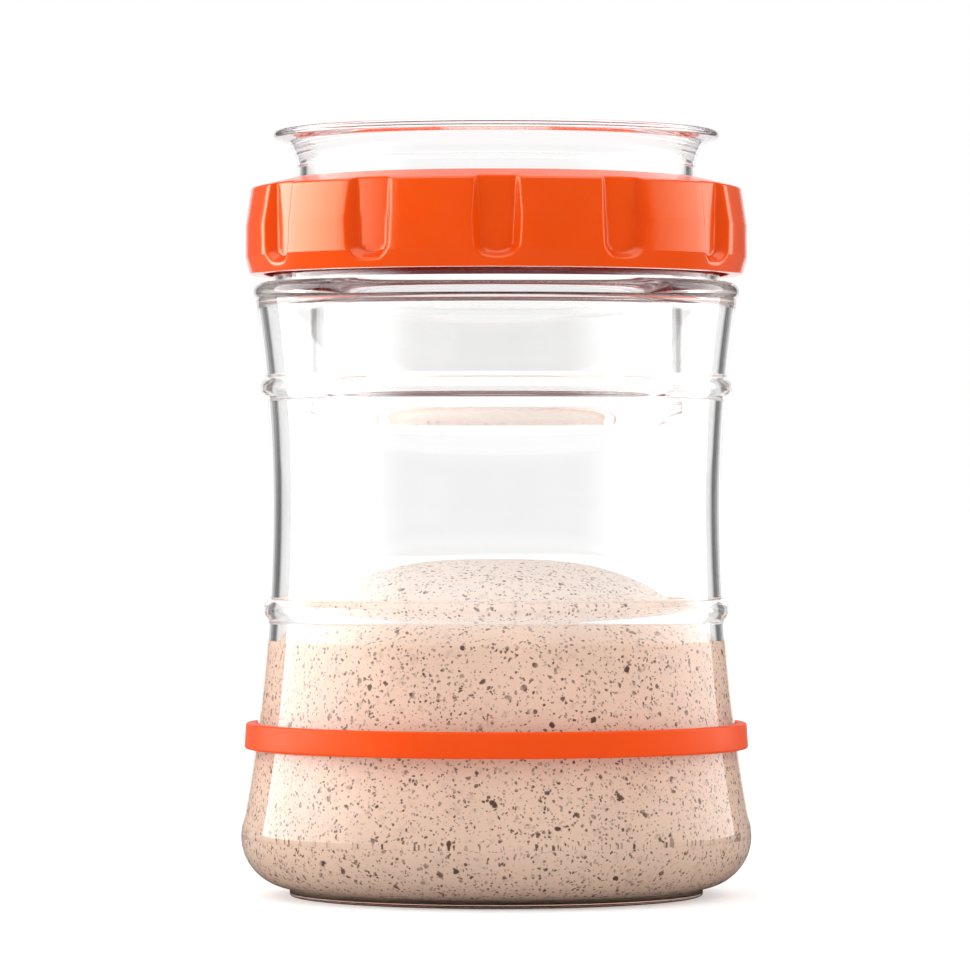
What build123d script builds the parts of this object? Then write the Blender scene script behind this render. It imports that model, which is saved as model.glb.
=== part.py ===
from build123d import *
import os
from math import sqrt

# Sourdough starter jar, in millimetres.
# The origin is the centre of the foot, on the surface the jar stands on, and +Z is up.
# The camera side of the jar is the -Y side, where one notch of the ring is centred.

os.makedirs("parts", exist_ok=True)

# One overrun for every cut that has to pass through a face
cut_overrun = 1.0

# Glass jar, neck: the finish that the ring, the seal and the cup are made for
neck_radius = 46.0
neck_wall = 2.4
neck_height = 16.2
neck_root_round = 0.3
rim_round = 0.7
neck_bore_radius = neck_radius - neck_wall

# Glass jar, body: a belly over the heel, a long waist and a shoulder
glass_wall = 2.2
waist_overhang = 0.25
belly_swell = 6.25
shoulder_swell = 3.2
belly_height = 12.2
belly_turn_rise = 3.8
waist_height = 80.5
shoulder_height = 122.0
bore_end_rise = 1.5
waist_radius = neck_radius + waist_overhang
belly_radius = waist_radius + belly_swell
shoulder_radius = waist_radius + shoulder_swell
belly_turn_height = belly_height + belly_turn_rise
bore_end_height = shoulder_height + bore_end_rise

# Glass jar, base
heel_overhang = 10.0
foot_height = 1.7
foot_land = 3.5
foot_round = 0.4
punt_height = 1.2
floor_height = 3.6
foot_radius = belly_radius - heel_overhang

# Glass jar, moulded beads: how far each stands out, its rounding and its height
lower_bead_swell = 1.75
lower_bead_round = 2.5
lower_bead_drop = 21.9
upper_bead_swell = 2.25
upper_bead_round = 2.45
upper_bead_drop = 17.8
shoulder_bead_swell = 0.55
shoulder_bead_round = 1.9
shoulder_bead_rise = 1.9
lower_bead_radius = waist_radius + lower_bead_swell
lower_bead_height = waist_height - lower_bead_drop
upper_bead_radius = waist_radius + upper_bead_swell
upper_bead_height = shoulder_height - upper_bead_drop
shoulder_bead_radius = shoulder_radius + shoulder_bead_swell
shoulder_bead_height = shoulder_height + shoulder_bead_rise

# Glass jar, ledge round the foot of the neck, and the rim
ledge_height = shoulder_bead_height + shoulder_bead_round
ledge_radius = shoulder_bead_radius - shoulder_bead_round
rim_height = ledge_height + neck_height

# Starter dough: a domed mound that meets the glass all round
dough_gap = 0.3
dough_crown_height = 69.0
dough_crown_drop = 15.0
dough_dome_inset = 0.45
dough_dome_power = 3
dough_dome_shares = (0, 0.3, 0.55, 0.8, 1.15)
dough_dome_radius = waist_radius - glass_wall - dough_dome_inset

# Lid seal: a flange clamped between ring and rim, a skirt that centres it in the neck
seal_thickness = 2.0
seal_overhang = 1.0
seal_skirt_depth = 2.4
seal_skirt_thickness = 1.6
seal_skirt_gap = 0.3
seal_cup_gap = 0.3
seal_edge = 0.3
seal_radius = neck_radius + seal_overhang
seal_top_height = rim_height + seal_thickness

# Screw ring: a skirt with a drafted side, a lead-in below and a coned top
ring_thread_room = 1.9
ring_wall = 3.8
ring_ledge_gap = 1.7
ring_lead_height = 3.5
ring_lead_taper = 1.1
ring_draft_height = 7.7
ring_draft_taper = 1.2
ring_edge_rise = 1.2
ring_plate = 3.4
ring_cup_gap = 0.35
ring_top_round = 0.6
ring_bottom_round = 0.35
ring_bore_radius = neck_radius + ring_thread_room
ring_radius = ring_bore_radius + ring_wall
ring_bottom_radius = ring_radius - ring_lead_taper
ring_top_edge_radius = ring_radius - ring_draft_taper
ring_bottom_height = ledge_height + ring_ledge_gap
ring_side_height = ring_bottom_height + ring_lead_height
ring_top_edge_height = seal_top_height + ring_edge_rise
ring_side_top_height = ring_top_edge_height - ring_draft_height
ring_top_height = seal_top_height + ring_plate

# Screw ring, grip notches: half widths at the floor and at the mouth
notch_count = 12
notch_web = 1.3
notch_sill = 1.8
notch_floor_lift = 1.3
notch_mouth_half_top = 6.0
notch_mouth_half_bottom = 4.5
notch_floor_half_top = 3.7
notch_floor_half_bottom = 3.0
notch_corner_round = 2.2
notch_edge_round = 0.45
notch_floor_radius = ring_bore_radius + notch_web
notch_bottom_height = ring_bottom_height + notch_sill

# Clear cup: a straight cup, a step that rests on the seal, and a flared lip
cup_neck_gap = 5.15
cup_depth = 49.5
cup_wall = 2.1
cup_bottom_rise = 1.9
cup_corner_round = 3.2
cup_inner_round = 4.6
cup_step = 2.45
cup_rise = 9.6
cup_flare_drop = 7.6
cup_flare_width = 2.4
cup_mouth_taper = 1.0
cup_mouth_round = 0.5
cup_lip_root_drop = 2.2
cup_lip_width = 2.5
cup_lip_thickness = 1.6
cup_radius = neck_bore_radius - cup_neck_gap
cup_bottom_height = seal_top_height - cup_depth
cup_collar_radius = cup_radius + cup_step
cup_height = ring_top_height + cup_rise
cup_flare_height = cup_height - cup_flare_drop
cup_lip_root_radius = cup_collar_radius + cup_flare_width
cup_lip_root_height = cup_height - cup_lip_root_drop
cup_lip_radius = cup_lip_root_radius + cup_lip_width
cup_lip_edge_height = cup_height - cup_lip_thickness

# Level band: a stretched silicone loop, a little thicker towards its top edge
band_bottom_height = 30.2
band_width = 5.3
band_gap = 0.3
band_foot_thickness = 1.7
band_top_thickness = 2.1
band_edge_round = 0.5


def arc_radius(rise, spread):
    """Radius of the arc that starts upright and moves out by spread over a rise."""
    return (rise * rise + spread * spread) / (2 * spread)


# The belly arc and the waist arc share one direction where they meet,
# and such a point lies on the straight line between their upright ends.
belly_turn_share = (belly_turn_height - belly_height) / (waist_height - belly_height)
belly_turn_radius = belly_radius - belly_turn_share * (belly_radius - waist_radius)
waist_arc = arc_radius(waist_height - belly_turn_height, belly_turn_radius - waist_radius)


def lower_wall_radius(height):
    """Outside radius of the glass between the belly turn and the waist."""
    return waist_radius + waist_arc - sqrt(waist_arc ** 2 - (waist_height - height) ** 2)


def wall_line(inset):
    """The jar's side from belly to shoulder, moved in by inset."""
    belly = (belly_radius - inset, belly_height)
    turn = (belly_turn_radius - inset, belly_turn_height)
    waist = (waist_radius - inset, waist_height)
    shoulder = (shoulder_radius - inset, shoulder_height)
    TangentArc(belly, turn, tangent=(0, 1))
    TangentArc(waist, turn, tangent=(0, -1))
    TangentArc(waist, shoulder, tangent=(0, 1))


def cavity_line(gap):
    """The inside of the jar, from its floor to above its rim, moved in by gap."""
    inset = glass_wall + gap
    base = floor_height + gap
    heel_start = belly_radius - inset - (belly_height - base)
    above = rim_height + cut_overrun
    Line((0, base), (heel_start, base))
    TangentArc((belly_radius - inset, belly_height), (heel_start, base), tangent=(0, -1))
    wall_line(inset)
    Polyline(
        (shoulder_radius - inset, shoulder_height),
        (neck_bore_radius - gap, bore_end_height),
        (neck_bore_radius - gap, above),
        (0, above),
        (0, base),
    )


# Glass jar
beads = (
    (lower_bead_radius, lower_bead_round, lower_bead_height),
    (upper_bead_radius, upper_bead_round, upper_bead_height),
    (shoulder_bead_radius, shoulder_bead_round, shoulder_bead_height),
)
with BuildPart() as glass_jar:
    with BuildSketch(Plane.XZ):
        with BuildLine():
            land_start = foot_radius - foot_land
            TangentArc((0, punt_height), (land_start, 0), tangent=(1, 0))
            Polyline((land_start, 0), (foot_radius, 0), (foot_radius, foot_height))
            TangentArc(
                (belly_radius, belly_height), (foot_radius, foot_height), tangent=(0, -1)
            )
            wall_line(0)
            Polyline(
                (shoulder_radius, shoulder_height),
                (ledge_radius, ledge_height),
                (neck_radius, ledge_height),
                (neck_radius, rim_height),
                (0, rim_height),
                (0, punt_height),
            )
        make_face()
        for bead_radius, bead_round, bead_height in beads:
            with Locations((bead_radius - bead_round, bead_height)):
                Circle(bead_round)
        with BuildLine():
            cavity_line(0)
        make_face(mode=Mode.SUBTRACT)
    revolve(axis=Axis.Z)
    rings = glass_jar.edges().filter_by(GeomType.CIRCLE)
    fillet(rings.group_by(Axis.Z)[-1], radius=rim_round)
    rings = glass_jar.edges().filter_by(GeomType.CIRCLE)
    fillet(rings.group_by(Axis.Z)[0], radius=foot_round)
    ledge = rings.filter_by_position(
        Axis.Z, ledge_height - foot_round, ledge_height + foot_round
    )
    neck_root = ledge.filter_by(lambda edge: edge.radius > (neck_radius + neck_bore_radius) / 2)
    fillet(neck_root.sort_by(SortBy.RADIUS)[0], radius=neck_root_round)
glass_jar.part.label = "glass_jar"
export_step(glass_jar.part, "parts/glass_jar.step")


def dome_height(share):
    """Height of the dough: its crown less a drop that grows as a power of the radius."""
    return dough_crown_height - dough_crown_drop * share ** dough_dome_power


# Starter dough
with BuildPart() as starter_dough:
    with BuildSketch(Plane.XZ):
        with BuildLine():
            cavity_line(dough_gap)
        make_face()
        with BuildLine():
            dome = [(s * dough_dome_radius, dome_height(s)) for s in dough_dome_shares]
            Spline(*dome)
            Polyline(dome[-1], (dome[-1][0], 0), (0, 0), dome[0])
        make_face(mode=Mode.INTERSECT)
    revolve(axis=Axis.Z)
starter_dough.part.label = "starter_dough"
export_step(starter_dough.part, "parts/starter_dough.step")

# Lid seal
seal_bore_radius = cup_radius + seal_cup_gap
skirt_radius = neck_bore_radius - seal_skirt_gap
with BuildPart() as lid_seal:
    with BuildSketch(Plane.XZ):
        with BuildLine():
            Polyline(
                (seal_bore_radius, rim_height),
                (skirt_radius - seal_skirt_thickness, rim_height),
                (skirt_radius - seal_skirt_thickness, rim_height - seal_skirt_depth),
                (skirt_radius, rim_height - seal_skirt_depth),
                (skirt_radius, rim_height),
                (seal_radius, rim_height),
                (seal_radius, seal_top_height),
                (seal_bore_radius, seal_top_height),
                close=True,
            )
        make_face()
    revolve(axis=Axis.Z)
    seal_rings = lid_seal.edges().filter_by(GeomType.CIRCLE)
    fillet(seal_rings.group_by(Axis.Z)[0], radius=seal_edge)
    fillet(seal_rings.group_by(SortBy.RADIUS)[-1], radius=seal_edge)
lid_seal.part.label = "lid_seal"
export_step(lid_seal.part, "parts/lid_seal.step")

# Clear cup
step_height = seal_top_height
cup_inner_radius = cup_radius - cup_wall
collar_inner_radius = cup_collar_radius - cup_wall
inner_bottom = cup_bottom_height + cup_wall
lip_round = cup_lip_thickness / 2
lip_edge_radius = cup_lip_radius - lip_round
with BuildPart() as clear_cup:
    with BuildSketch(Plane.XZ) as cup_section:
        with BuildLine():
            corner = (cup_radius, cup_bottom_height + cup_bottom_rise)
            TangentArc((0, cup_bottom_height), corner, tangent=(1, 0))
            Polyline(
                corner,
                (cup_radius, step_height),
                (cup_collar_radius, step_height),
                (cup_collar_radius, cup_flare_height),
            )
            lip_root = (cup_lip_root_radius, cup_lip_root_height)
            TangentArc((cup_collar_radius, cup_flare_height), lip_root, tangent=(0, 1))
            Line(lip_root, (lip_edge_radius, cup_lip_edge_height))
            ThreePointArc(
                (lip_edge_radius, cup_lip_edge_height),
                (cup_lip_radius, cup_height - lip_round),
                (lip_edge_radius, cup_height),
            )
            Polyline((lip_edge_radius, cup_height), (0, cup_height), (0, cup_bottom_height))
        make_face()
        fillet(cup_section.vertices().sort_by_distance(corner)[0], radius=cup_corner_round)
        with BuildLine():
            inner_corner = (cup_inner_radius, inner_bottom + cup_bottom_rise)
            TangentArc((0, inner_bottom), inner_corner, tangent=(1, 0))
            step_inside = step_height + cup_wall
            mouth = (collar_inner_radius + cup_mouth_taper, cup_height)
            Polyline(
                inner_corner,
                (cup_inner_radius, step_inside - (cup_collar_radius - cup_radius)),
                (collar_inner_radius, step_inside),
                (collar_inner_radius, cup_flare_height),
                mouth,
                (mouth[0], cup_height + cut_overrun),
                (0, cup_height + cut_overrun),
                (0, inner_bottom),
            )
        make_face(mode=Mode.SUBTRACT)
        fillet(cup_section.vertices().sort_by_distance(mouth)[0], radius=cup_mouth_round)
        fillet(cup_section.vertices().sort_by_distance(inner_corner)[0], radius=cup_inner_round)
    revolve(axis=Axis.Z)
clear_cup.part.label = "clear_cup"
export_step(clear_cup.part, "parts/clear_cup.step")


def notch_plane(radius):
    """Upright plane that touches the camera side of a cylinder of this radius."""
    return Plane(origin=(0, -radius, 0), x_dir=(1, 0, 0), z_dir=(0, -1, 0))


def notch_line(half_top, half_bottom, bottom):
    """U shape, open upwards, with straight sides that lean outwards."""
    top = ring_top_height + cut_overrun
    Polyline(
        (-half_top, top),
        (-half_bottom, bottom),
        (half_bottom, bottom),
        (half_top, top),
        close=True,
    )


# Screw ring, the tool shape of one notch
with BuildPart() as notch:
    with BuildSketch(notch_plane(notch_floor_radius)) as notch_floor:
        floor_bottom = notch_bottom_height + notch_floor_lift
        with BuildLine():
            notch_line(notch_floor_half_top, notch_floor_half_bottom, floor_bottom)
        make_face()
        fillet(notch_floor.vertices().group_by(Axis.Y)[0], radius=notch_corner_round)
    with BuildSketch(notch_plane(ring_radius)) as notch_mouth:
        with BuildLine():
            notch_line(notch_mouth_half_top, notch_mouth_half_bottom, notch_bottom_height)
        make_face()
        fillet(notch_mouth.vertices().group_by(Axis.Y)[0], radius=notch_corner_round)
    loft()

def is_notch_lip(edge):
    """True for the edges where a notch opens through the side of the ring."""
    middle = edge.center()
    reach = sqrt(middle.X ** 2 + middle.Y ** 2)
    lowest = edge.bounding_box().min.Z
    return reach > notch_floor_radius + notch_edge_round and lowest < notch_lip_limit


# Screw ring
notch_lip_limit = ring_top_edge_height - ring_top_round
ring_opening_radius = cup_collar_radius + ring_cup_gap
with BuildPart() as screw_ring:
    with BuildSketch(Plane.XZ):
        with BuildLine():
            Polyline(
                (ring_bore_radius, ring_bottom_height),
                (ring_bottom_radius, ring_bottom_height),
                (ring_radius, ring_side_height),
                (ring_radius, ring_side_top_height),
                (ring_top_edge_radius, ring_top_edge_height),
                (ring_opening_radius, ring_top_height),
                (ring_opening_radius, seal_top_height),
                (ring_bore_radius, seal_top_height),
                close=True,
            )
        make_face()
    revolve(axis=Axis.Z)
    ring_rims = screw_ring.edges().filter_by(GeomType.CIRCLE).group_by(Axis.Z)
    fillet(ring_rims[0], radius=ring_bottom_round)
    fillet(ring_rims[-1] + ring_rims[-2], radius=ring_top_round)
    with PolarLocations(0, notch_count):
        add(notch.part, mode=Mode.SUBTRACT)
    fillet(screw_ring.edges(Select.LAST).filter_by(is_notch_lip), radius=notch_edge_round)
screw_ring.part.label = "screw_ring"
export_step(screw_ring.part, "parts/screw_ring.step")

# Level band
band_top_height = band_bottom_height + band_width
band_foot_radius = lower_wall_radius(band_bottom_height) + band_gap
band_top_radius = lower_wall_radius(band_top_height) + band_gap
with BuildPart() as level_band:
    with BuildSketch(Plane.XZ) as band_section:
        with BuildLine():
            Polyline(
                (band_foot_radius, band_bottom_height),
                (band_foot_radius + band_foot_thickness, band_bottom_height),
                (band_top_radius + band_top_thickness, band_top_height),
                (band_top_radius, band_top_height),
                close=True,
            )
        make_face()
        fillet(band_section.vertices(), radius=band_edge_round)
    revolve(axis=Axis.Z)
level_band.part.label = "level_band"
export_step(level_band.part, "parts/level_band.step")
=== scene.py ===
"""Sourdough starter jar: glass jar, screw ring, cup insert, seal, level band and starter.

All lengths are in metres, +Z is up, and the jar stands at the origin. A place on a turned
piece is a pair: its distance from the jar's axis and its height.
"""

import math

import bpy
import numpy as np
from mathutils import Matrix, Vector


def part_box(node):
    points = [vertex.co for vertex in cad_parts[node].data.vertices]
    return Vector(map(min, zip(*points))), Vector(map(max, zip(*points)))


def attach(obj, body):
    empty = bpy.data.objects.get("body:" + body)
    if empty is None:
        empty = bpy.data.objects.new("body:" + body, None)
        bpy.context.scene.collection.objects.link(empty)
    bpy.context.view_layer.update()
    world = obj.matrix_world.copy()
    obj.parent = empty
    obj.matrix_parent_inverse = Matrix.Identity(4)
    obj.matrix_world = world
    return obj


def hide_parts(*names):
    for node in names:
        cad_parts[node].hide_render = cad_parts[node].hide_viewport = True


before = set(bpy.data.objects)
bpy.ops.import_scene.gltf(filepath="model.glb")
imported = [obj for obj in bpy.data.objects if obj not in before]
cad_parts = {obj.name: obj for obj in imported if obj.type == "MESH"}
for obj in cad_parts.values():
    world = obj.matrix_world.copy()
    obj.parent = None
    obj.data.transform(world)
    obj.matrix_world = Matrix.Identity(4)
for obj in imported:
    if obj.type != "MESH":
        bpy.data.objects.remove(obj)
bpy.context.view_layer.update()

bl_info = {
    "name": "Sourdough Starter Jar",
    "version": (1, 0, 0),
    "blender": (4, 5, 0),
    "location": "View3D > Sidebar > Starter Jar",
    "description": "Builds a glass starter jar with its screw ring, cup, seal, band and dough",
    "category": "Add Mesh",
}

MM = 0.001
TURN = 2 * math.pi
# Reflections of the studio change at these angles from straight behind the jar: the white
# panel ends, and the dark front starts for outer faces. For rays within glass the dim gap
# beside the panel ends, and the front starts, with its share of light
PANEL_EDGE = (math.radians(17), math.radians(21))
FRONT_EDGE = (math.radians(60), math.radians(90))
GAP_EDGE = (math.radians(29), math.radians(33))
WITHIN_EDGE = (math.radians(100), math.radians(140))
WITHIN_FRONT = 0.4
# They change at these upward parts of a direction: the panel ends for outer faces, with its
# share of light above, and white starts overhead for outer faces and for rays within glass
PANEL_TOP = (0.2, 0.4)
PANEL_ABOVE = 0.2
OVERHEAD = (0.6, 0.8)
OVERHEAD_WITHIN = (0.03, 0.12)
# Distances from the jar between which the floor turns dim for rays within glass
FLOOR_NEAR = (0.9, 2.4)
# Distance of both softboxes from the jar's axis, and the heights of their edges
SOFTBOX_AWAY, SOFTBOX_LOW, SOFTBOX_HIGH = 0.9, -0.02, 0.6


def low(node):
    """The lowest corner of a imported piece."""
    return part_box(node)[0]


def high(node):
    """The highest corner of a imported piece."""
    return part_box(node)[1]


def length(name, default, description):
    """A length that a user may change, in metres."""
    return bpy.props.FloatProperty(
        name=name, description=description, default=default, unit="LENGTH", precision=5
    )


def size(name, millimetres, description):
    """A length that a user may change, given in millimetres."""
    return length(name, millimetres * MM, description)


def amount(name, default, description):
    """A plain number that a user may change."""
    return bpy.props.FloatProperty(name=name, description=description, default=default, precision=3)


def count(name, default, description):
    """A whole number that a user may change."""
    return bpy.props.IntProperty(name=name, description=description, default=default, min=3)


def paint(name, default, description):
    """A colour that a user may change."""
    return bpy.props.FloatVectorProperty(
        name=name, description=description, default=default, subtype="COLOR", size=3, min=0, max=1
    )


class JarSizes(bpy.types.PropertyGroup):
    """Sizes of the glass jar."""

    belly: length("Belly radius", high("glass_jar").x, "Widest radius of the glass")
    belly_height: size("Belly height", 12.2, "Height of the widest line")
    belly_turn: size("Belly turn", 16.0, "Height where the belly turns to the waist")
    foot: size("Foot radius", 42.5, "Outer radius of the foot ring")
    foot_height: size("Foot height", 1.7, "Height of the foot ring")
    foot_land: size("Foot land", 3.5, "Width of the ring that the jar stands on")
    punt: size("Punt", 1.2, "How far the underside rises at its centre")
    floor: size("Floor", 3.6, "Height of the inside floor")
    wall: size("Wall", 2.2, "Thickness of the glass")
    waist: size("Waist radius", 46.25, "Narrowest radius of the glass")
    waist_height: size("Waist height", 80.5, "Height of the narrowest line")
    shoulder: size("Shoulder radius", 49.45, "Radius below the shoulder bead")
    shoulder_height: size("Shoulder height", 122.0, "Height of the shoulder")
    low_bead: size("Lower bead radius", 48.0, "Crest radius of the lower bead")
    low_bead_round: size("Lower bead rounding", 2.5, "Section radius of the lower bead")
    low_bead_height: size("Lower bead height", 58.6, "Height of the lower bead")
    top_bead: size("Upper bead radius", 48.5, "Crest radius of the upper bead")
    top_bead_round: size("Upper bead rounding", 2.45, "Section radius of the upper bead")
    top_bead_height: size("Upper bead height", 104.2, "Height of the upper bead")
    bead_blend: size("Bead blend", 0.3, "How softly a bead runs into the wall")
    edge_bead: size("Shoulder bead radius", 50.0, "Crest radius of the shoulder bead")
    edge_bead_round: size("Shoulder bead rounding", 1.9, "Its section radius")
    edge_bead_height: size("Shoulder bead height", 123.9, "Height of that bead")
    neck: size("Neck radius", 46.0, "Outer radius of the neck")
    neck_bore: size("Neck bore", 43.6, "Inner radius of the neck")
    bore_low: size("Bore end", 123.5, "Height where the straight bore ends")
    rim: length("Rim height", high("glass_jar").z, "Height of the rim")
    rim_round: size("Rim rounding", 0.7, "Radius of the rim's edges")
    root_round: size("Neck root", 0.3, "Radius at the foot of the neck")


class LidSizes(bpy.types.PropertyGroup):
    """Sizes of the screw ring, its thread, the seal and the clear cup."""

    ring: size("Ring radius", 51.7, "Outer radius of the ring's side")
    ring_foot: size("Ring foot radius", 50.6, "Outer radius at the lower edge")
    ring_low: length("Ring bottom", low("screw_ring").z, "Height of the lower edge")
    ring_side: size("Ring side", 131.0, "Height where the straight side starts")
    ring_draft: size("Ring draft", 137.5, "Height where the side leans in")
    ring_edge: size("Ring edge", 145.2, "Height of the top outer edge")
    ring_edge_radius: size("Ring edge radius", 50.5, "Radius of the top outer edge")
    ring_top: size("Ring top", 147.4, "Height of the cone at the opening")
    ring_opening: size("Ring opening", 41.25, "Radius of the opening")
    ring_bore: size("Ring bore", 47.9, "Inner radius of the skirt")
    ring_round: size("Ring rounding", 0.6, "Radius of the ring's edges")
    notches: count("Notches", 12, "Number of grip notches")
    notch_floor: size("Notch floor", 49.2, "Radius of the floor of a notch")
    notch_low: size("Notch bottom", 130.4, "Height of the floor's lower end")
    notch_top_half: size("Notch half width, top", 3.7, "Half the floor's width above")
    notch_low_half: size("Notch half width, bottom", 3.0, "Half its width below")
    notch_corner: size("Notch corner", 2.2, "Radius of the floor's lower corners")
    notch_slope: amount("Notch slope", 1.55, "How steeply the walls of a notch rise")
    notch_blend: size("Notch blend", 0.45, "How softly the walls meet the side")
    thread_lead: size("Thread lead", 9.0, "Rise of the thread in one turn")
    thread_pitch: size("Thread pitch", 4.5, "Distance between its two starts")
    thread_depth: size("Thread depth", 1.1, "How far a thread stands out")
    thread_half: size("Thread half width", 1.0, "Half the width of a thread")
    thread_low: size("Thread start", 131.8, "Lowest height of the thread")
    thread_high: size("Thread end", 140.0, "Highest height of the thread")
    cup: size("Cup radius", 38.45, "Outer radius of the cup in the jar")
    cup_wall: size("Cup wall", 2.1, "Thickness of the cup")
    cup_low: length("Cup bottom", low("clear_cup").z, "Lowest height of the cup")
    cup_sag: size("Cup sag", 1.9, "How far the bottom bows down")
    cup_corner: size("Cup corner", 3.2, "Radius of the corner under the cup")
    cup_inner_corner: size("Cup inner corner", 4.6, "Radius of the corner inside")
    collar: size("Collar radius", 40.9, "Outer radius above the step")
    flare: size("Flare height", 149.4, "Height where the lip starts to flare")
    mouth: size("Mouth radius", 39.8, "Inner radius of the cup at its top")
    lip: length("Lip radius", high("clear_cup").x, "Outer radius of the lip")
    lip_root: size("Lip root radius", 43.3, "Radius where the lip turns outwards")
    lip_root_height: size("Lip root height", 154.8, "Height of that turn")
    lip_low: size("Lip underside", 155.4, "Height of the lip's lower edge")
    cup_top: length("Cup top", high("clear_cup").z, "Height of the lip")
    seal: size("Seal radius", 47.0, "Outer radius of the seal")
    seal_top: length("Seal top", high("lid_seal").z, "Height of the seal's upper face")
    seal_bore: size("Seal bore", 38.75, "Inner radius of the seal")
    seal_skirt: size("Seal skirt radius", 43.3, "Outer radius of the skirt")
    seal_skirt_wall: size("Seal skirt wall", 1.6, "Thickness of the skirt")
    seal_round: size("Seal rounding", 0.3, "Radius of the seal's edges")


class FillSizes(bpy.types.PropertyGroup):
    """Sizes of the starter and the level band."""

    crown: size("Crown", 69.0, "Height of the starter at its centre")
    crown_drop: size("Crown drop", 15.0, "How far it falls at the dome radius")
    dome: size("Dome radius", 43.6, "Radius at which it has fallen that far")
    dome_power: amount("Dome power", 3.0, "How late the dome starts to fall")
    wetting: size("Wetting", 0.06, "How far the starter sits into the glass")
    band_low: length("Band bottom", low("level_band").z, "Height of the lower edge")
    band_high: length("Band top", high("level_band").z, "Height of the upper edge")
    band_gap: size("Band gap", 0.3, "Gap between band and glass")
    band_foot: size("Band foot", 1.7, "Thickness at the lower edge")
    band_top: size("Band head", 2.1, "Thickness at the upper edge")
    band_round: size("Band rounding", 0.5, "Radius of the band's edges")


class JarColours(bpy.types.PropertyGroup):
    """Colours and light levels."""

    orange: paint("Orange plastic", (0.9, 0.078, 0.0015), "Screw ring")
    band: paint("Orange silicone", (0.87, 0.07, 0.002), "Level band")
    seal: paint("Seal silicone", (0.2, 0.008, 0.006), "Lid seal")
    # Painted shade: this dark red is put on the inside of the screw ring, where shade falls.
    bore: paint("Ring inside", (0.16, 0.003, 0.003), "Shaded inside of the screw ring")
    glass: paint("Glass", (0.999, 1.0, 0.999), "Tint of the glass")
    cup: paint("Cup", (0.999, 0.998, 0.997), "Tint of the clear cup")
    dough: paint("Starter", (0.79, 0.56, 0.44), "Body of the starter")
    # Painted light: this paler crown colour stands for the light from above and the glass's veil of
    # reflection on the dome.
    crown: paint("Crown", (0.93, 0.8, 0.72), "Skin of the dome")
    # Painted shade: near the floor the starter is darkened towards this colour.
    heel: paint("Heel", (0.22, 0.21, 0.16), "Shade that the starter takes near the floor")
    speck: paint("Bran", (0.075, 0.035, 0.022), "Bran and seed specks")
    floor: paint("Floor", (0.8, 0.8, 0.8), "Surface that the jar stands on")
    room: amount("Room light", 0.4, "Brightness of the surroundings as a lamp")
    sky: amount("Sky light", 1.1, "How much brighter they are overhead")
    fill: amount("Fill light", 0.15, "How much brighter they are at the front")
    side: amount("Studio sides", 0.15, "Brightness of the studio's sides in reflections")
    front: amount("Studio front", 0.02, "Brightness of its front in outer reflections")
    within: amount("Studio within", 0.8, "Brightness of its sides in reflections within glass")
    shine: amount("Floor shine", 0.25, "How much the floor glows where it is seen")
    softbox: amount("Left softbox", 3.6, "Brightness of the left softbox")
    softbox_right: amount("Right softbox", 1.7, "Brightness of the right softbox")


# Shapes


def places(radius, height):
    """A run of places from their radii and heights, of which one may be a single value."""
    return np.column_stack(np.broadcast_arrays(radius, height))


def circle(centre, radius, angle):
    """Places on a circle, at these angles from straight outwards."""
    return places(centre[0] + radius * np.cos(angle), centre[1] + radius * np.sin(angle))


def joined(*parts):
    """One run of places from several, without the doubled places where they meet."""
    run = np.vstack([np.atleast_2d(np.array(part, float)) for part in parts])
    keep = np.ones(len(run), bool)
    keep[1:] = np.hypot(*np.diff(run, axis=0).T) > 1e-7
    return run[keep]


def upright_arc(start, end, steps):
    """Arc that leaves start straight up or down and ends at end.

    Its centre is level with start: place = start + radius * (1 - cos a, sin a), where the
    radius is (rise squared + spread squared) / (2 * spread).
    """
    spread, rise = end[0] - start[0], end[1] - start[1]
    radius = (rise**2 + spread**2) / (2 * abs(spread))
    full = math.atan2(abs(rise), radius - abs(spread))
    a = np.linspace(0, full, steps)
    out = start[0] + math.copysign(radius, spread) * (1 - np.cos(a))
    return places(out, start[1] + math.copysign(radius, rise) * np.sin(a))


def rounded(corners, radii, steps=7):
    """A polyline whose inner corners are arcs: each arc touches both of its straight sides."""
    corners = np.array(corners, float)
    runs = [corners[:1]]
    for before, corner, after, radius in zip(corners, corners[1:], corners[2:], radii):
        if radius == 0:
            runs.append(corner[None])
            continue
        a = (before - corner) / np.linalg.norm(before - corner)
        b = (after - corner) / np.linalg.norm(after - corner)
        half = math.acos(np.clip(a @ b, -1, 1)) / 2
        centre = corner + (a + b) / np.linalg.norm(a + b) * radius / math.sin(half)
        first, last = corner + a * radius / math.tan(half), corner + b * radius / math.tan(half)
        t = np.linspace(0, 1, steps)[:, None]
        chord = first * (1 - t) + last * t - centre
        runs.append(centre + radius * chord / np.linalg.norm(chord, axis=1)[:, None])
    return joined(*runs, corners[-1:])


def supported(run):
    """The same run with a place near both ends of each long straight, to keep it flat."""
    edge, far = 0.15 * MM, 1.5 * MM
    kept = [run[0]]
    for start, end in zip(run, run[1:]):
        reach = np.linalg.norm(end - start)
        if reach > far:
            step = (end - start) / reach * edge
            kept += [start + step, end - step]
        kept.append(end)
    return np.array(kept)


def soft_max(a, b, blend):
    """The larger of a and b, with the crease between them rounded over blend."""
    return 0.5 * (a + b + np.sqrt((a - b) ** 2 + blend**2))


def soft_min(a, b, blend):
    """The smaller of a and b, with the crease between them rounded over blend."""
    return 0.5 * (a + b - np.sqrt((a - b) ** 2 + blend**2))


def spaced(start, end, step):
    """Values from start to end, about step apart."""
    return np.linspace(start, end, max(2, int(round(abs(end - start) / step)) + 1))


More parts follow.
